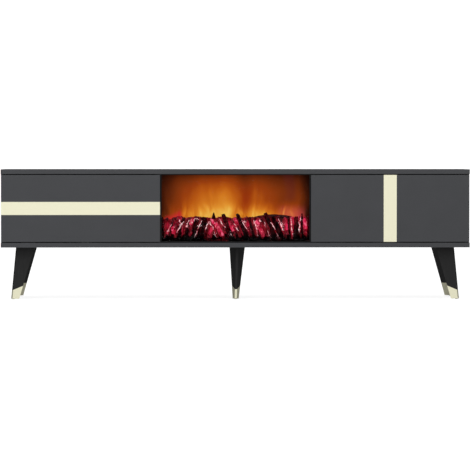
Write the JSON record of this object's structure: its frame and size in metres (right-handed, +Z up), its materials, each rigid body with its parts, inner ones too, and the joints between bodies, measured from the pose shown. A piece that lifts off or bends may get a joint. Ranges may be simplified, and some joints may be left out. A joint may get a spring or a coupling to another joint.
{
  "type": "tv stand with electric fireplace",
  "caption": "Long low cabinet on splayed legs with drop-down doors either side of a flame effect fireplace insert with glowing embers behind glass.",
  "frame": {"origin": "on the floor, under the middle of the cabinet", "axes": "+X to the right seen from the front, along the cabinet; +Y to the rear; +Z up"},
  "size_m": [1.8, 0.35, 0.5],
  "materials": {
    "anthracite_board": "matt melamine",
    "gold_strip": "satin pale gold",
    "leg_black": "matt black",
    "leg_gold": "satin pale gold",
    "back_board": "lacquered hardboard",
    "zinc": "zinc plated",
    "dowel_wood": "plain beech",
    "glide_plastic": "plain",
    "black_plastic": "fine texture",
    "black_steel": "matt black powder coat",
    "fire_glass": "clear polished",
    "flame_screen": "printed diffusing acrylic",
    "embers": "translucent resin, hand tinted",
    "foil": "polished foil",
    "circuit": "solder mask"
  },
  "bodies": {
    "cabinet": {"top_panel": "anthracite_board", "bottom_panel": "anthracite_board", "side_panel_left": "anthracite_board", "side_panel_right": "anthracite_board", "divider_left": "anthracite_board", "divider_right": "anthracite_board", "back_panel_left": "back_board", "back_panel_right": "back_board", "cam_locks": "zinc", "cam_bolts": "zinc", "dowels": "dowel_wood", "leg_front_left": "leg_black", "leg_front_right": "leg_black", "leg_rear_left": "leg_black", "leg_rear_right": "leg_black", "leg_centre": "leg_black", "leg_tip_front_left": "leg_gold", "leg_tip_front_right": "leg_gold", "leg_tip_rear_left": "leg_gold", "leg_tip_rear_right": "leg_gold", "leg_tip_centre": "leg_gold", "leg_glides": "glide_plastic", "leg_bolts": "zinc", "hinge_leaves_base": "black_steel", "hinge_pins": "black_steel", "stay_rail_left": "zinc", "stay_rail_right": "zinc", "latch_bodies": "black_plastic", "wood_screws": "zinc", "fire_bezel": "black_steel", "fire_glass": "fire_glass", "fire_housing": "black_steel", "rear_cover": "black_steel", "flame_screen": "flame_screen", "ember_bed": "embers", "spindle_bearing": "black_plastic", "flicker_motor": "zinc", "led_boards": "circuit", "control_board": "circuit", "power_supply": "black_plastic", "mains_inlet": "black_plastic", "switch_body": "black_plastic"},
    "door_left": {"door_left": "anthracite_board", "strip_horizontal": "gold_strip", "hinge_leaves_left": "black_steel", "door_screws_left": "zinc", "stay_bracket_left": "zinc", "striker_left": "zinc"},
    "stay_arm_left": {"stay_arm_left": "zinc"},
    "latch_plunger_left": {"latch_plunger_left": "zinc"},
    "door_right": {"door_right": "anthracite_board", "strip_vertical": "gold_strip", "hinge_leaves_right": "black_steel", "door_screws_right": "zinc", "stay_bracket_right": "zinc", "striker_right": "zinc"},
    "stay_arm_right": {"stay_arm_right": "zinc"},
    "latch_plunger_right": {"latch_plunger_right": "zinc"},
    "flicker_spindle": {"flicker_spindle": "foil"},
    "rocker": {"rocker": "black_plastic"}
  },
  "joints": [
    {"name": "door_left_flap", "type": "hinge", "parent": "cabinet", "child": "door_left", "pos_m": [-0.594, -0.1734, 0.21975], "axis": [1, 0, 0], "range_deg": [0, 90]},
    {"name": "stay_left_fold", "type": "hinge", "parent": "door_left", "child": "stay_arm_left", "pos_m": [-0.874, -0.1434, 0.33975], "axis": [1, 0, 0], "range_deg": [-75, 0]},
    {"name": "latch_left_press", "type": "slide", "parent": "cabinet", "child": "latch_plunger_left", "axis": [0, 1, 0], "range_m": [0, 0.0025], "stiffness_N_per_m": 600, "springref_m": -0.002},
    {"name": "door_right_flap", "type": "hinge", "parent": "cabinet", "child": "door_right", "pos_m": [0.594, -0.1734, 0.21975], "axis": [1, 0, 0], "range_deg": [0, 90]},
    {"name": "stay_right_fold", "type": "hinge", "parent": "door_right", "child": "stay_arm_right", "pos_m": [0.874, -0.1434, 0.33975], "axis": [1, 0, 0], "range_deg": [-75, 0]},
    {"name": "latch_right_press", "type": "slide", "parent": "cabinet", "child": "latch_plunger_right", "axis": [0, 1, 0], "range_m": [0, 0.0025], "stiffness_N_per_m": 600, "springref_m": -0.002},
    {"name": "flicker_spin", "type": "hinge", "parent": "cabinet", "child": "flicker_spindle", "pos_m": [0, -0.072, 0.262], "axis": [1, 0, 0], "continuous": true},
    {"name": "rocker_tilt", "type": "hinge", "parent": "cabinet", "child": "rocker", "pos_m": [-0.01, -0.025, 0.261], "axis": [1, 0, 0], "range_deg": [0, 20]}
  ],
  "couplings": [
    {"joint": "stay_left_fold", "follows": "door_left_flap", "ratio": -0.8333},
    {"joint": "stay_right_fold", "follows": "door_right_flap", "ratio": -0.8333}
  ]
}
